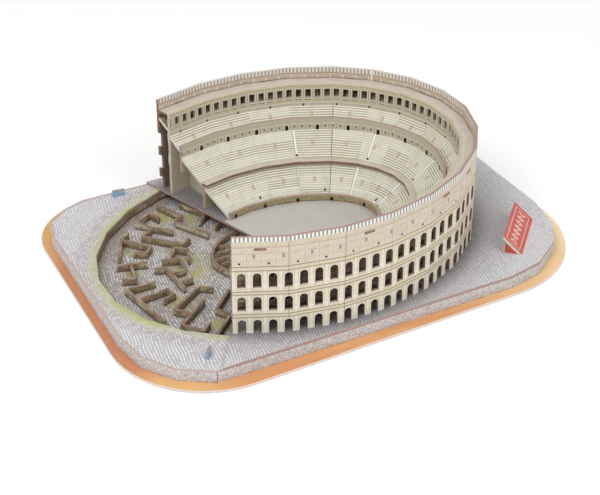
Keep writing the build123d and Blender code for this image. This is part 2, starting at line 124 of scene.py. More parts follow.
def fold_lines():
    """The outer wall's folds and, at each, the inward vector that moves both facets in by 1."""
    angles = [WALL_START]
    for chord in CHORDS:
        angles.append(next_angle(angles[-1], chord))
    points = [on_oval(a) for a in angles]
    facets = []
    for (x0, y0), (x1, y1) in zip(points, points[1:]):
        length = hypot(x1 - x0, y1 - y0)
        facets.append((-(y1 - y0) / length, (x1 - x0) / length))
    normals = [facets[0]]
    for (ax, ay), (bx, by) in zip(facets, facets[1:]):
        scale = 1 + ax * bx + ay * by
        normals.append(((ax + bx) / scale, (ay + by) / scale))
    normals.append(facets[-1])
    return points, normals


WALL, WALL_IN = fold_lines()
REACH = END_CUT[0] * WALL_IN[-1][0] + END_CUT[1] * WALL_IN[-1][1]
WALL_IN[-1] = (END_CUT[0] / REACH, END_CUT[1] / REACH)


def inset(index, depth):
    (x, y), (nx, ny) = WALL[index], WALL_IN[index]
    return (x + nx * depth, y + ny * depth)


def along(index, share, depth):
    x0, y0 = inset(index, depth)
    x1, y1 = inset(index + 1, depth)
    return (x0 + (x1 - x0) * share, y0 + (y1 - y0) * share)


def run_lengths(depth):
    """Distance along the folded line at a depth, from the front end to each fold."""
    total = [0.0]
    for i in range(LAST):
        (x0, y0), (x1, y1) = inset(i, depth), inset(i + 1, depth)
        total.append(total[-1] + hypot(x1 - x0, y1 - y0))
    return total


# ------------------------------------------------------------------ meshes
class Mesh:
    """Gathers vertices and faces; each face has a material number and two print coordinates."""

    def __init__(self):
        self.verts = []
        self.index = {}
        self.faces = []
        self.mats = []
        self.uvs = []

    def vert(self, p):
        key = (round(p[0], 3), round(p[1], 3), round(p[2], 3))
        if key not in self.index:
            self.index[key] = len(self.verts)
            self.verts.append((p[0] * MM, p[1] * MM, p[2] * MM))
        return self.index[key]

    def face(self, points, uvs, mat):
        ids = [self.vert(p) for p in points]
        if len(set(ids)) < 3:
            return
        keep = [i for i in range(len(ids)) if ids[i] != ids[i - 1]]
        self.faces.append([ids[i] for i in keep])
        self.uvs.append([uvs[i] for i in keep])
        self.mats.append(mat)

    def build(self, name, body, materials, replaces):
        mesh = bpy.data.meshes.new(name)
        mesh.from_pydata(self.verts, [], self.faces)
        layer = mesh.uv_layers.new(name="print")
        for poly, uvs, mat in zip(mesh.polygons, self.uvs, self.mats):
            poly.material_index = mat
            for loop, uv in zip(poly.loop_indices, uvs):
                layer.data[loop].uv = uv
        for m in materials:
            mesh.materials.append(m)
        obj = bpy.data.objects.new(name, mesh)
        bpy.context.scene.collection.objects.link(obj)
        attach(obj, body)
        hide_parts(*replaces)
        return obj


def columns(first, last, extra=(), step=None):
    """Sorted (distance, facet, share) places along the wall, with every fold among them."""
    cum = run_lengths(0)
    places = list(cum[first : last + 1])
    places += [u for u in extra if cum[first] < u < cum[last]]
    if step:
        for i in range(first, last):
            n = max(1, round(CHORDS[i] / step))
            places += [cum[i] + CHORDS[i] * k / n for k in range(1, n)]
    places.sort()
    kept = [places[0]]
    for u in places[1:]:
        if u - kept[-1] > 0.04:
            kept.append(u)
    kept[-1] = cum[last]
    result = []
    for u in kept:
        i = first
        while i < last - 1 and u > cum[i + 1] + 1e-6:
            i += 1
        result.append((u, i, (u - cum[i]) / CHORDS[i]))
    return result


def upright(mesh, cols, levels, is_open, near, far, z0, run_depth):
    """A board standing on its edge: a grid with openings, printed on both faces.

    Face materials: 0 outside, 1 inside, 2 bare edge."""
    run = run_lengths(run_depth)

    def place(col, depth, level):
        u, i, share = col
        x, y = along(i, share, depth)
        return (x, y, z0 + level)

    def uv(col, level):
        u, i, share = col
        return (run[i] + (run[i + 1] - run[i]) * share, level)

    rows = [levels(c[0]) for c in cols]
    nz = len(rows[0]) - 1
    solid = {}
    for a in range(len(cols) - 1):
        middle = (cols[a][0] + cols[a + 1][0]) / 2
        for b in range(nz):
            solid[a, b] = not is_open(middle, b)
    for (a, b), there in solid.items():
        if not there:
            continue
        corners = ((a, b), (a + 1, b), (a + 1, b + 1), (a, b + 1))
        out = [place(cols[i], near, rows[i][j]) for i, j in corners]
        inn = [place(cols[i], far, rows[i][j]) for i, j in corners]
        uvs = [uv(cols[i], rows[i][j]) for i, j in corners]
        mesh.face(out, uvs, 0)
        mesh.face(inn[::-1], uvs[::-1], 1)
        for k, other in enumerate(((a, b - 1), (a + 1, b), (a, b + 1), (a - 1, b))):
            if solid.get(other):
                continue
            n = (k + 1) % 4
            mesh.face(
                [out[n], out[k], inn[k], inn[n]],
                [(uvs[n][0], 0), (uvs[k][0], 0), (uvs[k][0], BOARD), (uvs[n][0], BOARD)]
                if k in (0, 2)
                else [(uvs[n][1], 0), (uvs[k][1], 0), (uvs[k][1], BOARD), (uvs[n][1], BOARD)],
                2,
            )


def sloping(mesh, first, last, section, mats, run_depth, step=6.0, rows=1):
    """A folded board with the same section at every fold. Section points are (depth, height)."""
    cols = columns(first, last, step=step)
    run = run_lengths(run_depth)
    lengths = []
    for k, (d, z) in enumerate(section):
        d1, z1 = section[(k + 1) % len(section)]
        lengths.append(hypot(d1 - d, z1 - z))

    def place(col, d, z):
        u, i, share = col
        x, y = along(i, share, d)
        return (x, y, FLOOR + z)

    def run_at(col):
        u, i, share = col
        return run[i] + (run[i + 1] - run[i]) * share

    for a, b in zip(cols, cols[1:]):
        for k, (d, z) in enumerate(section):
            d1, z1 = section[(k + 1) % len(section)]
            n = rows if k == 0 else 1
            for r in range(n):
                s0, s1 = r / n, (r + 1) / n
                p0 = (d + (d1 - d) * s0, z + (z1 - z) * s0)
                p1 = (d + (d1 - d) * s1, z + (z1 - z) * s1)
                v0, v1 = lengths[k] * s0, lengths[k] * s1
                mesh.face(
                    [place(a, *p0), place(a, *p1), place(b, *p1), place(b, *p0)],
                    [(run_at(a), v0), (run_at(a), v1), (run_at(b), v1), (run_at(b), v0)],
                    mats[k],
                )
    top = [section[0]]
    for r in range(1, rows + 1):
        s = r / rows
        (d, z), (d1, z1) = section[0], section[1]
        top.append((d + (d1 - d) * s, z + (z1 - z) * s))
    ring = top + list(section[2:])
    for col, flip in ((cols[0], True), (cols[-1], False)):
        points = [place(col, d, z) for d, z in ring]
        uvs = [(d, z) for d, z in ring]
        if flip:
            points, uvs = points[::-1], uvs[::-1]
        mesh.face(points, uvs, max(mats))


# ------------------------------------------------------------------ procedural paint
def srgb(r, g, b):
    """Linear colour of the usual 0 to 255 values."""

    def linear(c):
        c /= 255
        return c / 12.92 if c <= 0.04045 else ((c + 0.055) / 1.055) ** 2.4

    return (linear(r), linear(g), linear(b), 1.0)


class Value:
    """A number that differs over the surface, built from math nodes."""

    def __init__(self, paint, socket):
        self.paint = paint
        self.socket = socket

    def math(self, operation, *others, clamp=False):
        node = self.paint.tree.nodes.new("ShaderNodeMath")
        node.operation = operation
        node.use_clamp = clamp
        for slot, other in zip(node.inputs, (self,) + others):
            if isinstance(other, Value):
                self.paint.tree.links.new(other.socket, slot)
            else:
                slot.default_value = float(other)
        return Value(self.paint, node.outputs[0])

    def __add__(self, o):
        return self.math("ADD", o)

    def __sub__(self, o):
        return self.math("SUBTRACT", o)

    def __mul__(self, o):
        return self.math("MULTIPLY", o)

    def __truediv__(self, o):
        return self.math("DIVIDE", o)

    __radd__ = __add__
    __rmul__ = __mul__

    def __rsub__(self, o):
        return (self * -1) + o

    def __gt__(self, o):
        return self.math("GREATER_THAN", o)

    def floor(self):
        return self.math("FLOOR")

    def abs(self):
        return self.math("ABSOLUTE")

    def max(self, o):
        return self.math("MAXIMUM", o)

    def clamp(self):
        return self.math("ADD", 0.0, clamp=True)

    def above(self, edge, soft=0.25):
        """1 where the value is above the edge, 0 below, with a soft step."""
        return ((self - edge) * (1 / soft)).math("ADD", 0.5, clamp=True)

    def below(self, edge, soft=0.25):
        return ((edge - self) * (1 / soft)).math("ADD", 0.5, clamp=True)

    def band(self, low, high, soft=0.25):
        return self.above(low, soft) * self.below(high, soft)

    def off(self, pitch, start=0.0):
        """Signed distance to the nearest of a row of centres."""
        x = self - start
        return x - (x / pitch).math("ROUND") * pitch

    def near(self, pitch, start=0.0):
        """Distance to the nearest of a row of centres."""
        return self.off(pitch, start).abs()

    def number(self, pitch, start=0.0):
        """Number of the nearest centre in a row."""
        return ((self - start) / pitch).math("ROUND")


class Paint:
    """One material: a Principled shader whose colour is painted over step by step."""

    def __init__(self, name, roughness=0.5, specular=0.3, tone=0.86):
        self.tone = tone
        self.material = bpy.data.materials.new(name)
        self.material.use_nodes = True
        self.tree = self.material.node_tree
        self.tree.nodes.clear()
        self.shader = self.tree.nodes.new("ShaderNodeBsdfPrincipled")
        out = self.tree.nodes.new("ShaderNodeOutputMaterial")
        self.tree.links.new(self.shader.outputs[0], out.inputs[0])
        self.shader.inputs["Roughness"].default_value = roughness
        self.shader.inputs["Specular IOR Level"].default_value = specular
        self.colour = None
        coords = self.tree.nodes.new("ShaderNodeTexCoord")
        scaled = self.vector("SCALE", coords.outputs["Object"], 1000.0)
        self.position = scaled
        self.x, self.y, self.z = self.split(scaled)
        self.normal = coords.outputs["Normal"]
        self.nx, self.ny, self.nz = self.split(self.normal)

    def split(self, socket):
        node = self.tree.nodes.new("ShaderNodeSeparateXYZ")
        self.tree.links.new(socket, node.inputs[0])
        return [Value(self, node.outputs[i]) for i in range(3)]

    def join(self, x, y, z=0.0):
        node = self.tree.nodes.new("ShaderNodeCombineXYZ")
        for slot, value in zip(node.inputs, (x, y, z)):
            if isinstance(value, Value):
                self.tree.links.new(value.socket, slot)
            else:
                slot.default_value = value
        return node.outputs[0]

    def vector(self, operation, socket, amount):
        node = self.tree.nodes.new("ShaderNodeVectorMath")
        node.operation = operation
        self.tree.links.new(socket, node.inputs[0])
        if operation == "SCALE":
            node.inputs["Scale"].default_value = amount
        else:
            node.inputs[1].default_value = amount
        return node.outputs[0]

    def uv(self):
        node = self.tree.nodes.new("ShaderNodeUVMap")
        node.uv_map = "print"
        u, v, _ = self.split(node.outputs[0])
        return u, v

    def noise(self, vector, scale, detail=3.0, low=0.0, high=1.0):
        node = self.tree.nodes.new("ShaderNodeTexNoise")
        node.inputs["Scale"].default_value = scale
        node.inputs["Detail"].default_value = detail
        self.tree.links.new(vector, node.inputs["Vector"])
        value = Value(self, node.outputs[0])
        if (low, high) != (0.0, 1.0):
            value = ((value - low) * (1 / (high - low))).clamp()
        return value

    def random(self, a, b, seed=0.0):
        node = self.tree.nodes.new("ShaderNodeTexWhiteNoise")
        node.noise_dimensions = "3D"
        self.tree.links.new(self.join(a, b, seed), node.inputs["Vector"])
        return Value(self, node.outputs["Value"])

    def stones(self, vector, randomness=0.8):
        """Distance to the nearest joint and a random number for each stone."""
        edge = self.tree.nodes.new("ShaderNodeTexVoronoi")
        edge.feature = "DISTANCE_TO_EDGE"
        edge.inputs["Scale"].default_value = 1.0
        edge.inputs["Randomness"].default_value = randomness
        cell = self.tree.nodes.new("ShaderNodeTexVoronoi")
        cell.inputs["Scale"].default_value = 1.0
        cell.inputs["Randomness"].default_value = randomness
        self.tree.links.new(vector, edge.inputs["Vector"])
        self.tree.links.new(vector, cell.inputs["Vector"])
        tint = self.tree.nodes.new("ShaderNodeSeparateColor")
        self.tree.links.new(cell.outputs["Color"], tint.inputs[0])
        return Value(self, edge.outputs["Distance"]), Value(self, tint.outputs[0])

    def over(self, colour, mask=1.0, mode="MIX"):
        """Paints a colour over what is there, where the mask is 1."""
        if self.colour is None:
            self.colour = colour
            return self
        node = self.tree.nodes.new("ShaderNodeMix")
        node.data_type = "RGBA"
        node.blend_type = mode
        factor, first, second = node.inputs[0], node.inputs[6], node.inputs[7]
        if isinstance(mask, Value):
            self.tree.links.new(mask.socket, factor)
        else:
            factor.default_value = mask
        for slot, value in ((first, self.colour), (second, colour)):
            if isinstance(value, tuple):
                slot.default_value = value
            else:
                self.tree.links.new(value, slot)
        self.colour = node.outputs[2]
        return self

    def mixed(self, first, second, mask):
        """A colour between two, kept apart from the paint."""
        kept, self.colour = self.colour, first
        self.over(second, mask)
        kept, self.colour = self.colour, kept
        return kept

    def relief(self, height, distance=0.0002, strength=0.4):
        node = self.tree.nodes.new("ShaderNodeBump")
        node.inputs["Strength"].default_value = strength
        node.inputs["Distance"].default_value = distance
        self.tree.links.new(height.socket, node.inputs["Height"])
        self.tree.links.new(node.outputs[0], self.shader.inputs["Normal"])

    def gloss(self, value):
        self.tree.links.new(value.socket, self.shader.inputs["Roughness"])

    def done(self):
        self.over((self.tone, self.tone, self.tone, 1.0), 1.0, "MULTIPLY")
        if isinstance(self.colour, tuple):
            self.shader.inputs["Base Color"].default_value = self.colour
        else:
            self.tree.links.new(self.colour, self.shader.inputs["Base Color"])
        return self.material


def foam(name, base, dark, light):
    """Cut edge of the board: closed-cell foam between two skins of paper."""
    p = Paint(name, roughness=0.85, specular=0.15)
    p.over(base)
    cells = p.noise(p.position, 2.2, 2.0, 0.35, 0.65)
    p.over(dark, cells * 0.45)
    p.over(light, p.noise(p.position, 0.35, 2.0, 0.45, 0.7) * 0.4)
    p.relief(p.noise(p.position, 3.0, 2.0), 0.0002, 0.5)
    return p.done()


def wall_foam():
    """Cut edges of the outer wall: brown in the openings, with painted light making the top paler,
    palest at the far side.
    """
    p = Paint("foam_wall", roughness=0.85, specular=0.15)
    p.over(srgb(150, 122, 108))
    p.over(srgb(108, 82, 70), p.noise(p.position, 2.2, 2.0, 0.35, 0.65) * 0.45)
    # painted light: the upward top edge is painted paler than the same foam in the openings, most at the
    # far side
    top = p.nz.above(0.5, 0.1)
    p.over(srgb(178, 150, 138), top)
    p.over(srgb(226, 216, 206), top * p.y.above(10.0, 30.0) * 0.8)
    p.relief(p.noise(p.position, 3.0, 2.0), 0.0002, 0.5)
    return p.done()


FOAM_PINK = foam("foam_pink", srgb(190, 164, 150), srgb(160, 130, 118), srgb(210, 190, 178))
FOAM_CREAM = foam("foam_cream", srgb(214, 202, 184), srgb(184, 168, 148), srgb(230, 222, 206))
FOAM_BROWN = foam("foam_brown", srgb(150, 122, 108), srgb(108, 82, 70), srgb(178, 150, 136))
FOAM_WHITE = foam("foam_white", srgb(236, 232, 222), srgb(206, 198, 182), srgb(246, 243, 236))
FOAM_WALL = wall_foam()


def paper_gloss(p):
    p.gloss(p.noise(p.position, 0.12, 2.0) * 0.16 + 0.42)


def oval_distance(p):
    """Rough distance outside the building's oval, in mm."""
    ex = (p.x - OVAL_CENTRE[0]) * (1 / OVAL_A)
    ey = (p.y - OVAL_CENTRE[1]) * (1 / OVAL_B)
    return ((ex * ex + ey * ey).math("SQRT") - 1.0) * 126.0


def cobble_field(p, light, dark, joint, size=1.0):
    """Small oblique setts in slightly wavy rows."""
    wobble = p.noise(p.position, 0.035, 1.0) * 9.0
    across = p.x * 0.99 - p.y * 0.13 + wobble
    along_row = p.y * 0.99 + p.x * 0.13
    pitch = 2.15 * size
    row = (across / pitch).floor()
    shift = p.random(row, 4.0, 1.0) * 2.9
    column = ((along_row + shift) / (2.9 * size)).floor()
    tint = p.random(row, column, 7.0)
    seam = ((across / pitch - row - 0.5).abs()).above(0.34, 0.16)
    gap = (((along_row + shift) / (2.9 * size) - column - 0.5).abs()).above(0.41, 0.12)
    p.over(dark)
    p.over(light, tint.above(0.35, 0.6))
    p.over(joint, seam * (tint * 0.5 + 0.5))
    p.over(joint, gap * 0.5)
    return seam


# ------------------------------------------------------------------ materials of kept boards
def base_material():
    p = Paint("base_print", roughness=0.4, specular=0.35, tone=0.94)
    warp = p.noise(p.position, 0.02, 2.0) * 14.0
    fine = p.noise(p.join(p.x * 0.02, (p.y + warp) * 0.35, 3.0), 3.0, 4.0, 0.3, 0.7)
    broad = p.noise(p.join(p.x * 0.006, (p.y + warp) * 0.04, 0.0), 3.0, 3.0, 0.35, 0.65)
    p.over(srgb(222, 164, 112))
    p.over(srgb(206, 132, 82), broad * 0.7)
    p.over(srgb(238, 198, 146), fine * 0.35)
    # browner on the left, golden at the corners, pale towards the right
    left = p.x.below(-150.0, 60.0)
    p.over(srgb(192, 124, 92), left * p.y.below(80.0, 60.0) * 0.75)
    p.over(srgb(228, 176, 110), left * p.y.above(70.0, 50.0) * 0.8)
    corner = (p.x + 150.0).abs().below(30.0, 30.0) * p.y.below(-90.0, 20.0)
    p.over(srgb(232, 184, 124), corner * 0.8)
    p.over(srgb(214, 148, 100), p.x.band(-125.0, -60.0, 40.0) * p.y.below(-100.0, 20.0) * 0.6)
    p.over(srgb(244, 214, 166), p.x.above(105.0, 70.0) * 0.75)
    p.over(srgb(250, 232, 200), p.x.above(168.0, 20.0) * 0.6)
    rim = p.nz.below(0.5, 0.1)
    p.over(srgb(232, 222, 214), rim)
    p.over(srgb(198, 172, 166), rim * p.z.band(0.4, 1.2, 0.3) * 0.5)
    # printed floor of the pit
    inside = oval_distance(p).below(4.0, 0.5) * p.nz.above(0.5, 0.1)
    outside_colour = p.colour
    p.colour = None
    cobble_field(p, srgb(218, 215, 214), srgb(170, 165, 162), srgb(116, 108, 104), 1.0)
    p.over(srgb(140, 124, 104), p.noise(p.position, 0.035, 3.0, 0.5, 0.72) * 0.6)
    moss = p.noise(p.position, 0.10, 3.0, 0.38, 0.6)
    for x, y, size in (
        (-88.0, 12.0, 22.0),
        (-82.0, 82.0, 12.0),
        (-68.0, 72.0, 10.0),
        (-122.0, 52.0, 9.0),
        (-112.0, -26.0, 14.0),
        (-132.0, 20.0, 8.0),
        (-100.0, -62.0, 12.0),
        (-96.0, 44.0, 8.0),
    ):
        near = ((p.x - x) * (p.x - x) + (p.y - y) * (p.y - y)).math("SQRT")
        p.over(srgb(170, 166, 92), near.below(size * 0.7, size * 0.8) * moss * 0.9)
    # painted shade: the pit floor turns brown towards its walls
    edge = oval_distance(p).above(-9.0, 12.0)
    p.over(srgb(120, 104, 92), edge * 0.45)
    pit_colour = p.colour
    p.colour = outside_colour
    p.over(pit_colour, inside)
    p.gloss(p.noise(p.position, 0.05, 2.0) * 0.12 + 0.34)
    return p.done()


def plaza_material(name, cover):
    """Top print of the rim board and of the cover plate."""
    p = Paint(name, roughness=0.5)
    d = oval_distance(p)
    cobble_field(p, srgb(234, 233, 236), srgb(208, 206, 210), srgb(160, 157, 161), 1.0)
    p.over(srgb(214, 211, 214), p.noise(p.position, 0.02, 2.0, 0.4, 0.65) * 0.4)
    if cover:
        # painted shade: darker towards the foot of the outer wall and inside the building
        p.over(srgb(196, 192, 192), d.below(24.0, 24.0) * 0.45, "MULTIPLY")
        p.over(srgb(120, 114, 112), d.below(7.0, 12.0) * 0.6, "MULTIPLY")
        # arena floor inside the podium
        ex = (p.x - OVAL_CENTRE[0]) * (1 / 74.5)
        ey = (p.y - OVAL_CENTRE[1]) * (1 / 43.4)
        floor = ((ex * ex + ey * ey).math("SQRT") - 1.0) * 55.0
        shade = p.noise(p.position, 0.09, 4.0)
        sand = p.mixed(srgb(212, 209, 203), srgb(194, 190, 184), shade)
        speck = p.noise(p.position, 1.1, 3.0, 0.5, 0.7)
        sand = p.mixed(sand, srgb(176, 170, 162), speck * 0.5)
        smudge = floor.above(-3.0, 8.0) * p.noise(p.position, 0.2, 3.0, 0.35, 0.7)
        sand = p.mixed(sand, srgb(140, 120, 98), smudge * 0.8)
        p.over(sand, floor.below(0.5, 0.5))
    else:
        rough = p.noise(p.position, 0.09, 3.0) * 9.0
        patchy = p.noise(p.position, 0.025, 2.0, 0.4, 0.6)
        smudge = p.noise(p.position, 0.3, 3.0, 0.35, 0.65)
        p.over(srgb(168, 152, 138), (d + rough).below(19.0, 9.0) * smudge * 0.6)
        p.over(srgb(202, 204, 158), (d + rough).below(10.0, 6.0) * (patchy * 0.5 + 0.45) * 0.9)
        p.over(srgb(172, 178, 98), (d + rough).below(6.5, 4.0) * (patchy * 0.6 + 0.2) * 0.9)
    side = p.nz.abs().below(0.5, 0.1)
    p.over(srgb(186, 160, 150), side)
    p.over(srgb(150, 118, 108), side * p.noise(p.position, 1.6, 2.0, 0.4, 0.6) * 0.5)
    paper_gloss(p)
    return p.done()


def facing_run(p):
    """Distance along an upright face, worked out from its direction."""
    return p.y * p.nx - p.x * p.ny


def skirt_material():
    p = Paint("skirt_print", roughness=0.5)
    u = facing_run(p)
    edge, tint = p.stones(p.join(u * 0.6 + p.z * 0.3, p.z * 0.9 - u * 0.2, 0.0), 0.9)
    p.over(srgb(214, 211, 212))
    p.over(srgb(240, 239, 241), tint.above(0.35, 0.5))
    p.over(srgb(168, 163, 162), edge.below(0.10, 0.14) * 0.85)
    p.over(srgb(150, 144, 142), p.noise(p.join(u, p.z, 4.0), 0.9, 3.0, 0.58, 0.70) * 0.5)
    # painted shade: a patchy darker, browner band along the skirt's foot
    foot_shade = p.noise(p.join(u, 0.0, 2.0), 0.25, 2.0, 0.4, 0.6)
    p.over(srgb(150, 132, 122), p.z.below(2.7, 0.8) * foot_shade * 0.7)
    top = p.nz.abs().above(0.5, 0.1)
    p.over(srgb(206, 184, 174), top)
    p.over(srgb(176, 146, 136), top * p.noise(p.position, 1.2, 2.0, 0.45, 0.6) * 0.6)
    paper_gloss(p)
    return p.done()


def brick_paint(p, u, v, height=1.7, length=3.6):
    """Courses of irregular bricks."""
    row = (v / height).floor()
    shift = p.random(row, 1.0, 2.0) * length
    column = ((u + shift) / length).floor()
    tint = p.random(row, column, 5.0)
    joint_v = (v / height - row - 0.5).abs().above(0.36, 0.16)
    joint_u = ((u + shift) / length - column - 0.5).abs().above(0.42, 0.10)
    return tint, joint_v.max(joint_u)


def ruin_material():
    p = Paint("ruin_print", roughness=0.55)
    u = facing_run(p)
    tint, joint = brick_paint(p, u, p.z - 2.0)
    p.over(srgb(150, 130, 104))
    p.over(srgb(186, 168, 136), tint.above(0.5, 0.6))
    p.over(srgb(112, 92, 72), joint * 0.5)
    pale = p.noise(p.position, 0.06, 2.0, 0.5, 0.62)
    p.over(srgb(222, 214, 196), pale * p.z.band(3.6, 7.0, 2.0) * 0.8)
    # painted shade: faces turned towards +x are painted darker brown
    p.over(srgb(104, 82, 64), p.nx.above(0.3, 0.4) * 0.45)
    p.over(srgb(166, 158, 112), p.noise(p.position, 0.12, 3.0, 0.48, 0.68) * 0.4)
    # painted shade: darker towards the foot of the walls
    p.over(srgb(84, 66, 52), p.z.below(3.6, 2.6) * 0.75)
    hole = u.near(9.0, 2.0).below(0.6, 0.2) * p.z.band(4.4, 5.6, 0.2)
    p.over(srgb(34, 26, 22), hole * (p.random(u.number(9.0, 2.0), 3.0) > 0.45) * 0.9)
    top = p.nz.abs().above(0.5, 0.1)
    p.over(srgb(158, 130, 114), top)
    p.over(srgb(112, 86, 74), top * p.noise(p.position, 0.5, 2.0, 0.4, 0.6) * 0.6)
    p.over(srgb(190, 176, 150), top * p.noise(p.position, 0.09, 2.0, 0.5, 0.65) * 0.6)
    paper_gloss(p)
    return p.done()


def sign_material():
    p = Paint("sign_print", roughness=0.45)
    u = facing_run(p)
    p.over(srgb(150, 180, 206))
    p.over(srgb(120, 150, 182), p.noise(p.position, 0.5, 3.0, 0.4, 0.65) * 0.5)
    p.over(srgb(206, 216, 224), p.z.band(14.2, 14.5, 0.2) * 0.7)
    p.over(srgb(206, 216, 224), p.z.band(16.6, 16.9, 0.2) * 0.7)
    p.over(srgb(178, 150, 140), p.nz.abs().above(0.5, 0.1))
    paper_gloss(p)
    return p.done()


def rib_material():
    p = Paint("ledge_print", roughness=0.6)
    p.over(srgb(206, 200, 176))
    p.over(srgb(176, 168, 140), p.noise(p.position, 0.08, 3.0, 0.4, 0.65) * 0.5)
    paper_gloss(p)
    return p.done()


def plaque_material(end):
    p = Paint("plaque_print" if not end else "plaque_end_shaded_print", roughness=0.45)
    foot, top = Vector((112.7, -86.5)), Vector((146.0, -50.2))
    run = (top - foot).normalized()
    u = (p.x - foot.x) * run.x + (p.y - foot.y) * run.y
    w = p.z - FLOOR
    length = (top - foot).length
    p.over(srgb(208, 98, 86))
    p.over(srgb(224, 124, 110), p.noise(p.position, 0.09, 4.0, 0.4, 0.65) * 0.6)
    p.over(srgb(186, 72, 60), p.noise(p.position, 0.2, 4.0, 0.5, 0.7) * 0.5)
    edge = (p.nx * run.x + p.ny * run.y).abs().above(0.7, 0.1)
    if not end:
        wide = u.band(2.6, length - 2.6, 0.3) * w.band(1.9, 11.6, 0.3)
        narrow = u.band(3.2, length - 3.2, 0.3) * w.band(2.5, 11.0, 0.3)
        p.over(srgb(242, 222, 212), (wide - narrow).clamp() * 0.6)
        # a plain row of lozenges in place of a title
        a = u.near(6.2, length / 2) * (1 / 2.3)
        b = (w - 6.8).abs() * (1 / 2.6)
        lozenge = (a + b).below(1.0, 0.12) * u.band(5.5, length - 5.5, 0.2)
        core = (a + b).below(0.5, 0.12) * u.band(5.5, length - 5.5, 0.2)
        p.over(srgb(246, 232, 224), (lozenge - core).clamp() * 0.9)
        p.over(srgb(236, 230, 220), edge)
        p.over(srgb(200, 178, 164), edge * p.noise(p.position, 2.0, 2.0, 0.45, 0.6) * 0.5)
    else:
        # painted shade: the end pieces are painted a darker red than the face
        p.over(srgb(198, 82, 62), 0.7)
    paper_gloss(p)
    return p.done()


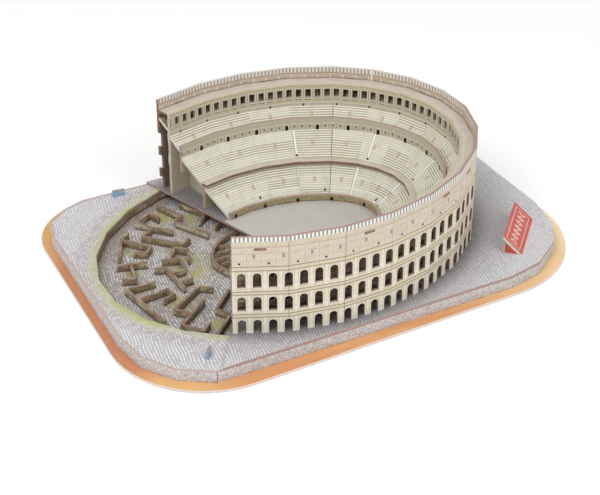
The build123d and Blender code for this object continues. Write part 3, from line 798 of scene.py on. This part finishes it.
# ------------------------------------------------------------------ printed walls and seats
def facade_material():
    """Outside of the outer wall: three storeys of arches under an attic."""
    p = Paint("facade_print", roughness=0.46)
    u, v = p.uv()
    h = WALL_HEIGHT
    p.over(srgb(230, 222, 198))
    p.over(srgb(214, 202, 172), p.noise(p.join(u, v, 1.0), 0.10, 4.0, 0.4, 0.65) * 0.6)
    p.over(srgb(196, 182, 152), p.noise(p.join(u, v, 2.0), 0.7, 3.0, 0.54, 0.7) * 0.5)
    # stone courses
    tint, joint = brick_paint(p, u, v, 2.4, 5.3)
    p.over(srgb(196, 182, 154), joint * 0.3)
    p.over(srgb(242, 236, 218), tint.above(0.7, 0.3) * 0.35)
    arch = u.off(PITCH, FIRST_ARCH)
    pier = arch.abs() * -1.0 + PITCH / 2
    # storeys: engaged columns on the piers, voussoirs round the arches
    for sill, opening in ARCH_ROWS:
        top = sill + 18.4
        inside = v.band(sill, top, 0.2)
        shaft = pier.below(1.15, 0.2) * inside
        p.over(srgb(240, 234, 216), shaft * 0.6)
        flank = pier.band(1.15, 1.5, 0.15) * inside
        p.over(srgb(186, 172, 140), flank * v.band(sill + 2.0, sill + 16.0, 0.3) * 0.5)
        p.over(srgb(246, 243, 234), pier.below(2.1, 0.2) * v.band(sill, sill + 1.6, 0.3) * 0.6)
        p.over(srgb(196, 180, 150), pier.below(1.7, 0.2) * v.band(sill + 14.6, sill + 15.3, 0.2) * 0.8)
        spring = sill + opening - 2.8
        rise = (v - spring).max(0.0)
        ring = (arch * arch + rise * rise).math("SQRT")
        frame_band = ring.band(2.8, 3.7, 0.2) * v.band(sill + 1.0, sill + opening + 1.2, 0.3)
        p.over(srgb(238, 232, 214), frame_band * 0.7)
        outline = ring.band(3.7, 3.95, 0.15) * v.band(spring, sill + opening + 1.4, 0.3)
        p.over(srgb(176, 158, 128), outline * 0.7)
        reveal = ring.below(2.95, 0.2) * ring.above(2.6, 0.2)
        p.over(srgb(128, 112, 92), reveal * v.band(sill, sill + opening, 0.3) * 0.5)
    # cornices, from the attic down
    for high, low in ((0.302, 0.341), (0.561, 0.590), (0.800, 0.830)):
        zt, zb = h * (1 - high), h * (1 - low)
        p.over(srgb(218, 205, 170), v.band(zb, zt, 0.2) * 0.85)
        p.over(srgb(238, 230, 206), v.band(zb + 0.9, zb + 1.4, 0.2) * 0.6)
        p.over(srgb(106, 98, 88), v.band(zt - 0.25, zt + 0.35, 0.2) * 0.85)
        p.over(srgb(116, 104, 88), v.band(zb - 0.35, zb + 0.2, 0.2) * 0.75)
        p.over(srgb(170, 152, 124), v.band(zb - 0.9, zb - 0.35, 0.2) * 0.4)
    # attic
    base = h * (1 - 0.302)
    attic = v.above(base + 0.5, 0.2) * v.below(h - 3.6, 0.2)
    p.over(srgb(216, 201, 180), attic * 0.8)
    p.over(srgb(232, 220, 200), attic * p.noise(p.join(u, v, 6.0), 0.25, 3.0, 0.4, 0.7) * 0.6)
    panel = u.off(ATTIC_PITCH, ATTIC_START)
    post = panel.abs() * -1.0 + ATTIC_PITCH / 2
    p.over(srgb(150, 138, 126), post.below(0.22, 0.15) * v.band(base + 0.5, h - 9.0, 0.2) * 0.6)
    p.over(srgb(232, 222, 206), post.band(0.22, 1.0, 0.2) * v.band(base + 0.5, h - 9.0, 0.2) * 0.4)
    p.over(srgb(176, 162, 146), v.band(base + 4.6, base + 4.9, 0.15) * 0.7)
    dentil = u.near(1.5).below(0.42, 0.2)
    p.over(srgb(158, 144, 126), dentil * v.band(h - 8.4, h - 7.3, 0.25) * 0.75)
    p.over(srgb(196, 182, 160), v.band(h - 6.4, h - 6.0, 0.2) * 0.5)
    number = u.number(ATTIC_PITCH, ATTIC_START)
    odd = (number * 0.5 - (number * 0.5).floor()).above(0.25, 0.1)
    # swags, small windows and beam holes
    swag = panel.near(2.6)
    drop = v - (h - 12.2)
    arc = (swag * swag + drop * drop).math("SQRT")
    hanging = arc.band(0.85, 1.25, 0.2) * v.below(h - 11.9, 0.3)
    p.over(srgb(150, 142, 134), hanging * post.above(1.3, 0.3) * 0.6)
    for level in (h - 14.2, h - 15.7):
        spot = (panel * panel * 0.8 + (v - level) * (v - level)).math("SQRT")
        p.over(srgb(120, 114, 112), spot.below(0.85, 0.25) * odd * 0.85)
        p.over(srgb(200, 192, 184), spot.below(0.35, 0.2) * odd * 0.8)
    hole = panel.abs().below(0.75, 0.15) * (v - (base + 2.6)).abs().below(0.75, 0.15)
    p.over(srgb(30, 24, 22), hole * (1 - odd))
    # parapet
    merlon = u.near(2.8).above(0.62, 0.2)
    strip = v.above(h - 3.65, 0.12)
    p.over(srgb(150, 150, 146), strip)
    p.over(srgb(248, 247, 243), strip * merlon)
    # creases at the folds
    cum = run_lengths(0)
    for i in range(1, LAST):
        deep = 0.75 if i in (1, 2, FRONT_END, BACK_START) else 0.3
        p.over(srgb(120, 92, 70), (u - cum[i]).abs().below(0.22, 0.2) * deep)
    # paler towards the foot
    p.over(srgb(252, 250, 244), v.below(2.0, 2.0) * 0.4)
    p.relief(joint * -1.0 + p.noise(p.join(u, v, 3.0), 1.5, 2.0), 0.00008, 0.3)
    paper_gloss(p)
    return p.done()


def inner_face_material():
    """Inside of the outer wall: pale blocks under a parapet, dark brick in the corridor."""
    p = Paint("facade_inner_print", roughness=0.5)
    u, v = p.uv()
    h = WALL_HEIGHT
    tint, joint = brick_paint(p, u, v, 2.1, 4.6)
    p.over(srgb(214, 198, 178))
    p.over(srgb(200, 182, 160), tint.above(0.5, 0.5))
    p.over(srgb(176, 156, 134), joint * 0.35)
    low = v.below(66.0, 1.0)
    p.over(srgb(124, 100, 84), low * 0.75)
    p.over(srgb(80, 60, 50), low * joint * 0.5)
    p.over(srgb(186, 170, 148), v.band(h - 5.0, h - 4.0, 0.2) * 0.8)
    dentil = u.near(1.5).below(0.4, 0.2)
    p.over(srgb(150, 136, 120), dentil * v.band(h - 5.0, h - 4.2, 0.2) * 0.6)
    p.over(srgb(226, 214, 198), v.band(h - 5.9, h - 5.1, 0.2) * 0.5)
    panel = u.near(10.1, 4.0)
    p.over(srgb(240, 234, 226), panel.below(0.5, 0.3) * v.band(69.2, 71.8, 0.3) * 0.8)
    slit = u.near(10.1, 9.0).below(0.4, 0.3)
    p.over(srgb(190, 172, 152), slit * v.band(71.0, 73.4, 0.3) * 0.6)
    p.over(srgb(104, 84, 70), v.band(69.0, 69.5, 0.2) * 0.8)
    merlon = u.near(2.8).above(0.55, 0.25)
    strip = v.above(h - 3.4, 0.12)
    p.over(srgb(162, 158, 152), strip)
    p.over(srgb(238, 232, 224), strip * merlon)
    seam = run_lengths(0)[BACK_START]
    p.over(srgb(250, 248, 244), (u - seam - 0.6).abs().below(0.5, 0.2) * v.above(69.0, 0.2))
    paper_gloss(p)
    return p.done()


def corridor_outer_material():
    """Outer side of the corridor wall: brick and a ledge, with painted shade at the arches' heights for
    the dark corridor seen through them.
    """
    p = Paint("corridor_print", roughness=0.55)
    u, v = p.uv()
    tint, joint = brick_paint(p, u, v, 2.0, 4.2)
    p.over(srgb(158, 130, 116))
    p.over(srgb(186, 156, 140), tint.above(0.5, 0.6))
    p.over(srgb(92, 70, 60), joint * 0.7)
    for sill, opening in ARCH_ROWS[1:]:
        p.over(srgb(226, 204, 194), v.band(sill + 4.2, sill + 6.4, 0.3) * 0.85)
        p.over(srgb(104, 78, 68), v.band(sill + 3.4, sill + 4.1, 0.3) * 0.8)
        # painted shade: near-black where the corridor is seen through the upper arches
        p.over(srgb(40, 32, 30), v.band(sill + 6.6, sill + 14.0, 0.3) * 0.92)
        p.over(srgb(90, 66, 56), v.band(sill - 0.2, sill + 0.5, 0.3) * 0.7)
    # painted shade: dark behind the ground-floor arches
    p.over(srgb(44, 36, 32), v.below(15.0, 1.0) * 0.75)
    paper_gloss(p)
    return p.done()


def colonnade_material(start, pitch):
    """Inner side of the corridor wall: the colonnade over the seats."""
    p = Paint("colonnade_print", roughness=0.48)
    u, v = p.uv()
    p.over(srgb(214, 204, 184))
    p.over(srgb(196, 184, 160), p.noise(p.join(u, v, 0.0), 0.3, 4.0, 0.4, 0.65) * 0.5)
    top = CORRIDOR_HEIGHT
    p.over(srgb(226, 220, 184), v.above(top - 2.4, 0.2) * 0.9)
    dentil = u.near(1.9).below(0.5, 0.25)
    p.over(srgb(134, 122, 84), dentil * v.band(top - 2.0, top - 0.7, 0.25) * 0.85)
    p.over(srgb(176, 162, 140), v.band(top - 2.9, top - 2.4, 0.2) * 0.7)
    p.over(srgb(218, 202, 184), v.band(64.9, top - 2.9, 0.2) * 0.7)
    near = u.near(pitch, start)
    frame_in = near.below(3.15, 0.2) * v.band(56.9, 65.4, 0.2)
    p.over(srgb(236, 228, 212), frame_in * 0.85)
    p.over(srgb(168, 152, 128), near.above(3.3, 0.2) * v.band(57.0, 65.2, 0.2) * 0.6)
    p.over(srgb(86, 70, 54), near.below(2.6, 0.2) * v.band(57.3, 65.0, 0.2) * 0.5)
    # sill and the blocks under it
    p.over(srgb(104, 92, 66), near.below(3.0, 0.2) * v.band(55.7, 56.3, 0.2) * 0.9)
    p.over(srgb(206, 202, 148), near.below(2.8, 0.2) * v.band(54.7, 55.7, 0.2) * 0.8)
    p.over(srgb(232, 225, 206), v.band(52.6, 53.9, 0.2) * 0.7)
    p.over(srgb(160, 148, 122), v.band(54.0, 54.4, 0.15) * 0.6)
    p.over(srgb(150, 138, 112), v.band(52.0, 52.4, 0.15) * 0.6)
    small = u.near(28.0, 10.0).below(0.8, 0.2) * v.band(50.0, 52.6, 0.2)
    p.over(srgb(60, 52, 48), small * 0.9)
    p.over(srgb(190, 180, 156), v.below(50.0, 1.0) * 0.3)
    paper_gloss(p)
    return p.done()


def own_run(u, depth):
    """Place along the folded line at a depth, for a place along the wall's face."""
    cum, run = run_lengths(0), run_lengths(depth)
    i = max(k for k in range(LAST) if cum[k] <= u)
    return run[i] + (run[i + 1] - run[i]) * (u - cum[i]) / CHORDS[i]


def gallery_material():
    """Stair under the gallery roof: dark steps."""
    p = Paint("gallery_print", roughness=0.55)
    u, v = p.uv()
    step = v / 1.55
    line = step - step.floor()
    p.over(srgb(192, 182, 140))
    p.over(srgb(92, 78, 58), line.below(0.45, 0.2))
    p.over(srgb(60, 46, 38), u.near(9.0).below(1.6, 0.4) * 0.7)
    paper_gloss(p)
    return p.done()


def seat_material(name, top, stairs, double, doors, sides):
    """Rows of seats printed on a sloping board; v runs down the slope."""
    p = Paint(name, roughness=0.46)
    u, v = p.uv()
    (d0, z0), (d1, z1) = top
    length = hypot(d1 - d0, z1 - z0)
    depth = (d0 + d1) / 2
    folds = run_lengths(depth)
    sector = (u - folds[1]).above(0.0, 0.1)
    for f in folds[2:-1]:
        sector = sector + (u - f).above(0.0, 0.1)
    rows = round(length / 1.95)
    thirds = 3 if length > 20 else 2
    third = (v * (thirds / length)).floor()
    row = v * (rows / length)
    line = row - row.floor()
    p.over(srgb(226, 222, 204))
    kind = p.random(sector, third, float(sides))
    p.over(srgb(196, 190, 158), kind.above(0.5, 0.1) * 0.85)
    p.over(srgb(212, 209, 184), p.random(sector, third, sides + 7.0) * 0.6)
    strength = kind.above(0.5, 0.1) * 0.45 + 0.3
    p.over(srgb(158, 150, 118), line.band(0.50, 0.85, 0.2) * strength)
    p.over(srgb(248, 247, 238), line.band(0.0, 0.34, 0.2) * (strength + 0.25))
    p.over(srgb(240, 238, 226), (v * (thirds / length) - third).below(0.07, 0.05) * 0.7)
    p.over(srgb(176, 170, 142), p.noise(p.join(u, v, 0.0), 0.15, 3.0, 0.5, 0.7) * 0.25)
    run = v.band(0.4, length - 0.8, 0.3)
    for place in stairs:
        s = (u - own_run(place, depth)).abs()
        p.over(srgb(132, 124, 108), s.below(1.0, 0.15) * run * 0.6)
        p.over(srgb(250, 250, 246), s.below(0.66, 0.15) * run)
        p.over(srgb(64, 60, 66), s.below(0.8, 0.15) * v.band(length - 3.4, length - 1.4, 0.2))
    for place in double:
        s = (u - own_run(place, depth)).abs()
        p.over(srgb(130, 120, 98), s.band(0.5, 0.85, 0.12) * run * 0.8)
        p.over(srgb(246, 244, 234), s.below(0.5, 0.12) * run * 0.7)
    for place in doors:
        s = u - own_run(place, depth)
        p.over(srgb(250, 250, 246), s.band(-1.0, 0.9, 0.15) * v.band(length - 7.4, length - 1.6, 0.2))
        p.over(srgb(72, 70, 76), s.band(-0.9, 0.8, 0.15) * v.band(length - 7.4, length - 4.6, 0.2))
    # ends of the ribs' tabs, showing in their slots
    for a, b in zip(folds, folds[1:]):
        centre = (a + b) / 2
        low = length * 0.36
        tall = min(4.4, length * 0.34)
        tab = (u - centre).abs().below(0.62, 0.12) * v.band(low, low + tall, 0.2)
        p.over(srgb(210, 184, 160), tab * 0.9)
        for side in (-0.8, 0.8):
            rim = (u - centre - side).abs().below(0.18, 0.12)
            p.over(srgb(130, 98, 84), rim * v.band(low - 0.2, low + tall + 0.2, 0.2) * 0.7)
    for f in folds[1:-1]:
        p.over(srgb(176, 168, 140), (u - f).abs().below(0.2, 0.15) * 0.5)
    joint = own_run(405.0, depth)
    p.over(srgb(96, 86, 66), (u - joint).abs().below(0.3, 0.15) * 0.8)
    paper_gloss(p)
    return p.done()


def belt_material():
    """Wall between upper and middle seats: doors and small windows."""
    p = Paint("belt_print", roughness=0.48)
    u, v = p.uv()
    w = v - (BELT_HEIGHT - 9.6)  # height over the middle seats' top row
    p.over(srgb(206, 201, 180))
    p.over(srgb(190, 184, 156), p.noise(p.join(u, v, 0.0), 0.25, 3.0, 0.4, 0.65) * 0.5)
    p.over(srgb(196, 190, 164), w.band(6.2, 9.6, 0.3) * 0.6)
    p.over(srgb(140, 130, 104), w.band(5.9, 6.3, 0.2) * 0.6)
    p.over(srgb(232, 227, 210), w.band(5.0, 5.9, 0.2) * 0.6)
    face = BELT_WALL[1]
    first_door = own_run(529.8, face)
    step = (first_door - own_run(298.2, face)) / 32
    bay = u.off(step, first_door)
    post = bay.abs() * -1.0 + step / 2
    p.over(srgb(150, 140, 112), post.below(0.3, 0.2) * w.band(0.0, 5.0, 0.2) * 0.6)
    door_bay = u.off(step * 4, first_door)
    is_door = door_bay.abs().below(step / 2, 0.1)
    frame_part = bay.abs().below(0.95, 0.15) * w.band(1.6, 3.9, 0.15)
    p.over(srgb(176, 170, 132), frame_part * (1 - is_door) * 0.8)
    pane = bay.abs().below(0.5, 0.15) * w.band(2.0, 3.4, 0.15)
    p.over(srgb(84, 76, 54), pane * (1 - is_door))
    dome = (door_bay * door_bay + (w - 2.8).max(0.0) * (w - 2.8).max(0.0)).math("SQRT")
    p.over(srgb(236, 230, 214), dome.below(1.9, 0.2) * w.band(-1.0, 4.8, 0.2))
    p.over(srgb(26, 22, 20), dome.below(1.4, 0.2) * w.band(-1.0, 4.4, 0.2))
    paper_gloss(p)
    return p.done()


def podium_material():
    p = Paint("podium_print", roughness=0.5)
    u, v = p.uv()
    p.over(srgb(188, 176, 140))
    p.over(srgb(150, 134, 96), p.noise(p.join(u * 0.4, v, 0.0), 0.8, 4.0, 0.38, 0.66))
    p.over(srgb(124, 104, 70), p.noise(p.join(u, v, 3.0), 0.4, 3.0, 0.5, 0.7) * 0.5)
    p.over(srgb(204, 182, 160), v.above(4.9, 0.3) * 0.7)
    p.over(srgb(110, 92, 66), v.below(0.7, 0.6) * 0.7)
    door = u.off(26.0, 8.0)
    dome = (door * door + (v - 2.2).max(0.0) * (v - 2.2).max(0.0)).math("SQRT")
    p.over(srgb(24, 20, 18), dome.below(1.2, 0.2) * v.below(3.6, 0.2))
    paper_gloss(p)
    return p.done()


def roof_material():
    p = Paint("roof_print", roughness=0.5)
    u, v = p.uv()
    p.over(srgb(216, 206, 194))
    p.over(srgb(198, 184, 170), p.noise(p.join(u * 0.5, v, 0.0), 0.14, 4.0, 0.4, 0.65) * 0.6)
    p.over(srgb(180, 166, 152), p.noise(p.join(u, v, 5.0), 1.2, 3.0, 0.56, 0.72) * 0.35)
    p.over(srgb(186, 168, 152), v.below(1.2, 1.2) * 0.5)
    p.over(srgb(226, 218, 200), v.above(6.9, 0.6) * 0.6)
    paper_gloss(p)
    return p.done()


def ledge_material():
    p = Paint("ledge_top_print", roughness=0.5)
    u, v = p.uv()
    p.over(srgb(216, 207, 190))
    p.over(srgb(198, 184, 166), p.noise(p.join(u * 0.5, v, 0.0), 0.2, 4.0, 0.4, 0.65) * 0.6)
    p.over(srgb(176, 164, 140), v.band(0.5, 0.9, 0.2) * 0.6)
    paper_gloss(p)
    return p.done()


def plain_print(name, base, dark):
    p = Paint(name, roughness=0.55)
    p.over(base)
    p.over(dark, p.noise(p.position, 0.12, 3.0, 0.4, 0.65) * 0.6)
    p.over(dark, p.noise(p.position, 0.9, 3.0, 0.5, 0.7) * 0.4)
    paper_gloss(p)
    return p.done()


BACK_PRINT = plain_print("back_print", srgb(202, 196, 172), srgb(170, 160, 130))


# ------------------------------------------------------------------ boards
ARCH_LEVELS = (0, 2, 4)  # levels of a wall's mesh that hold its arches
SLOT_LEVEL = 6  # level of a wall's mesh that holds its slots or windows


def arch_columns(centres, radius, parts):
    """Places along the wall at which the arches' curves have points."""
    return [c + radius * cos(pi * k / parts) for c in centres for k in range(parts + 1)]


def arch_levels(u, centres, radius):
    """Heights of sills and arch tops at one place along the wall."""
    head = 0.0
    for c in centres:
        if abs(u - c) < radius:
            head = (radius**2 - (u - c) ** 2) ** 0.5
    z = [0.0]
    for sill, opening in ARCH_ROWS:
        if sill:
            z.append(sill)
        z.append(sill + opening - radius + head)
    return z


def outer_walls():
    outside, inside = facade_material(), inner_face_material()
    cum = run_lengths(0)
    for panel, (first, last) in PANELS.items():
        pitch = PANEL_PITCH[panel]
        start = cum[first] + (FIRST_ARCH if panel == "front" else pitch / 2)
        count = int((cum[last] - start + FIT) / pitch) + 1
        centres = [start + pitch * i for i in range(count)]
        extra = arch_columns(centres, ARCH_RADIUS, 10)
        slots = []
        for i in sorted(set(TAB_FACETS) & set(range(first, last))):
            middle = (cum[i] + cum[i + 1]) / 2
            slots.append((middle - ROOF_TAB / 2 - FIT, middle + ROOF_TAB / 2 + FIT))
            extra += list(slots[-1])
        over = [ROOF_LEVEL - FIT, ROOF_LEVEL + BOARD + FIT, WALL_HEIGHT]

        def levels(u, centres=centres, over=over):
            return arch_levels(u, centres, ARCH_RADIUS) + over

        def is_open(u, row, centres=centres, slots=slots):
            if row in ARCH_LEVELS:
                return any(abs(u - c) < ARCH_RADIUS for c in centres)
            return row == SLOT_LEVEL and any(a < u < b for a, b in slots)

        mesh = Mesh()
        upright(mesh, columns(first, last, extra), levels, is_open, 0, BOARD, FLOOR, 0)
        prints = [outside, inside, FOAM_WALL]
        mesh.build(f"wall_{panel}", "arena_section", prints, [f"outer_wall_{panel}"])


def corridor_walls():
    outside = corridor_outer_material()
    cum = run_lengths(0)
    for panel, (first, last) in PANELS.items():
        pitch = PANEL_PITCH[panel]
        start = cum[first] + (FIRST_ARCH if panel == "front" else pitch / 2)
        count = int((cum[last] - start + FIT) / pitch) + 1
        centres = [start + pitch * i for i in range(count)]
        limit = cum[last] - (PLAIN_END if panel == "back" else END_STRIP)
        centres = [c for c in centres if cum[first] + END_STRIP < c < limit]
        begin = cum[first] + (END_STRIP if panel == "front" else 0.0)
        end = cum[last] - (END_STRIP if panel == "back" else 0.0)
        number = round((end - begin) / WINDOW_PITCH)
        windows = [begin + (end - begin) * (i + 0.5) / number for i in range(number)]
        extra = arch_columns(centres, CORRIDOR_RADIUS, 8)
        for w in windows:
            extra += [w - WINDOW_HALF, w + WINDOW_HALF]

        def levels(u, centres=centres):
            return arch_levels(u, centres, CORRIDOR_RADIUS) + WINDOW_LEVELS + [CORRIDOR_HEIGHT]

        def is_open(u, row, centres=centres, windows=windows):
            if row in ARCH_LEVELS:
                return any(abs(u - c) < CORRIDOR_RADIUS for c in centres)
            return row == SLOT_LEVEL and any(abs(u - w) < WINDOW_HALF for w in windows)

        mesh = Mesh()
        upright(mesh, columns(first, last, extra), levels, is_open, *CORRIDOR, FLOOR, 0)
        inside = colonnade_material(windows[0], windows[1] - windows[0])
        prints = [outside, inside, FOAM_CREAM]
        replaced = [f"corridor_wall_{panel}"]
        mesh.build(f"corridor_{panel}", "arena_section", prints, replaced)


def solid_wall(kind, near, far, z0, height, prints, slot, step=8.0):
    for half, (first, last) in HALVES.items():
        mesh = Mesh()
        cols = columns(first, last, step=step)
        upright(mesh, cols, lambda u: [0.0, height], lambda u, row: False, near, far, z0, far)
        mesh.build(f"{kind}_{half}_board", "arena_section", prints, [f"{kind}_{half}"])


def drop_of(top):
    (d0, z0), (d1, z1) = top
    return BOARD * hypot(d1 - d0, z1 - z0) / (d1 - d0)


def seat_board(kind, top, material, edge, toe=False):
    (d0, z0), (d1, z1) = top
    drop = drop_of(top)
    section = [(d0, z0), (d1, z1), (d1, z1 - drop), (d0, z0 - drop)]
    mats = [0, 2, 1, 2]
    if toe:
        slope = (z0 - z1) / (d1 - d0)
        foot = (d0 + (z0 - drop - FIT) / slope, FIT)
        section = [(d0, z0), (d1, z1), (d1, FIT), foot, (d0, z0 - drop)]
        mats = [0, 2, 1, 1, 2]
    for half, (first, last) in HALVES.items():
        mesh = Mesh()
        sloping(mesh, first, last, section, mats, (d0 + d1) / 2, rows=3)
        prints = [material, BACK_PRINT, edge]
        mesh.build(f"{kind}_{half}_board", "arena_section", prints, [f"{kind}_{half}"])


def tab(mesh, index, near, far, level):
    """A tab of the roof board, through its slot in the outer wall."""
    share = ROOF_TAB / 2 / CHORDS[index]
    corners = ((-share, near), (share, near), (share, far), (-share, far))
    plan = [along(index, 0.5 + s, d) for s, d in corners]
    low = [(x, y, FLOOR + level) for x, y in plan]
    high = [(x, y, FLOOR + level + BOARD) for x, y in plan]
    flat = [(0, 0), (ROOF_TAB, 0), (ROOF_TAB, BOARD), (0, BOARD)]
    mesh.face(high, flat, 2)
    mesh.face(low[::-1], flat, 2)
    for k in range(4):
        n = (k + 1) % 4
        mesh.face([low[k], low[n], high[n], high[k]], flat, 2)


def flat_board(kind, near, far, level, material, edge, slot, rows=2, tabs=()):
    section = [(near, level + BOARD), (far, level + BOARD), (far, level), (near, level)]
    for half, (first, last) in HALVES.items():
        mesh = Mesh()
        sloping(mesh, first, last, section, [0, 2, 1, 2], (near + far) / 2, rows=rows)
        for index in sorted(set(tabs) & set(range(first, last))):
            tab(mesh, index, 0.05, near + 0.3, level)
        prints = [material, BACK_PRINT, edge]
        mesh.build(f"{kind}_{half}_board", "arena_section", prints, [f"{kind}_{half}"])


outer_walls()
corridor_walls()
upper = seat_material("upper_print", UPPER, (), (), (), 3)
middle = seat_material("middle_print", MIDDLE, (440.0, 363.0, 285.0, 190.0, 110.0), (), (), 11)
lower = seat_material("lower_print", LOWER, (372.0, 300.0, 150.0), (441.0,), (492.0, 411.0, 318.0), 19)
seat_board("upper_tier", UPPER, upper, FOAM_WHITE)
seat_board("middle_tier", MIDDLE, middle, FOAM_WHITE)
seat_board("lower_tier", LOWER, lower, FOAM_WHITE, toe=True)
seat_board("gallery_stair", GALLERY, gallery_material(), FOAM_WHITE)
flat_board("gallery_roof", *ROOF, ROOF_LEVEL, roof_material(), FOAM_BROWN, "roof_print", tabs=TAB_FACETS)
flat_board("ledge", *LEDGE, LEDGE_LEVEL, ledge_material(), FOAM_BROWN, "ledge_print")
belt_prints = [BACK_PRINT, belt_material(), FOAM_PINK]
solid_wall("belt_wall", *BELT_WALL, FLOOR + BELT_FOOT, BELT_HEIGHT, belt_prints, "belt_print")
plain_prints = [BACK_PRINT, BACK_PRINT, FOAM_PINK]
solid_wall("ledge_wall", *LEDGE_WALL, FLOOR, LEDGE_LEVEL - FIT, plain_prints, "ledge_print")
podium_prints = [BACK_PRINT, podium_material(), FOAM_PINK]
solid_wall("podium", *PODIUM, FLOOR, PODIUM_HEIGHT, podium_prints, "podium_print")

# ------------------------------------------------------------------ kept boards
KEPT = {
    "base_plate": base_material(),
    "rim_board": plaza_material("rim_print", False),
    "cover_plate": plaza_material("cover_print", True),
    "signs": sign_material(),
    "ribs": rib_material(),
    "plaque_face": plaque_material(False),
    "plaque_back": plain_print("plaque_back_print", srgb(206, 186, 170), srgb(176, 150, 134)),
    "plaque_ends": plaque_material(True),
}
skirt = skirt_material()
ruins = ruin_material()
for name, obj in NODES.items():
    if name in KEPT:
        material = KEPT[name]
    elif name.startswith("skirt"):
        material = skirt
    elif name.startswith(("ruin", "pit", "basement")):
        material = ruins
    else:
        continue
    for slot in obj.material_slots:
        slot.material = material

# ------------------------------------------------------------------ camera, light and floor
camera_data = bpy.data.cameras.new("camera")
camera_data.sensor_width = 36.0
camera_data.lens = 103.76
camera = bpy.data.objects.new("camera", camera_data)
bpy.context.scene.collection.objects.link(camera)
side = Vector((0.88903, -0.45783, 0.00442))
up = Vector((0.25153, 0.49646, 0.83082))
ahead = Vector((0.38256, 0.73751, -0.55653))
turn = Matrix((side, up, -ahead)).transposed()
camera.matrix_world = Matrix.Translation((-0.49767, -0.94437, 0.71405)) @ turn.to_4x4()
camera_data.clip_start = 0.01
bpy.context.scene.camera = camera

world = bpy.data.worlds.new("world")
bpy.context.scene.world = world
world.use_nodes = True
background = world.node_tree.nodes["Background"]
background.inputs["Color"].default_value = (1.0, 1.0, 1.0, 1.0)
background.inputs["Strength"].default_value = 0.75


def softbox(name, place, size, power):
    data = bpy.data.lights.new(name, "AREA")
    data.shape = "DISK"
    data.size = size
    data.energy = power
    lamp = bpy.data.objects.new(name, data)
    bpy.context.scene.collection.objects.link(lamp)
    lamp.location = place
    lamp.rotation_euler = (Vector((0, 0, 0.03)) - Vector(place)).to_track_quat("-Z", "Y").to_euler()


softbox("key", (-0.9, -0.5, 1.5), 0.9, 12.0)
softbox("fill", (0.6, -1.2, 1.1), 1.0, 5.0)

floor_mesh = bpy.data.meshes.new("floor")
floor_mesh.from_pydata([(-6, -6, 0), (6, -6, 0), (6, 6, 0), (-6, 6, 0)], [], [(0, 1, 2, 3)])
floor = bpy.data.objects.new("floor", floor_mesh)
bpy.context.scene.collection.objects.link(floor)
floor.location.z = -0.0002
ground = bpy.data.materials.new("floor_white")
ground.use_nodes = True
ground.node_tree.nodes["Principled BSDF"].inputs["Base Color"].default_value = (0.97, 0.97, 0.97, 1)
ground.node_tree.nodes["Principled BSDF"].inputs["Roughness"].default_value = 0.9
floor_mesh.materials.append(ground)

bpy.context.scene.view_settings.view_transform = "Standard"
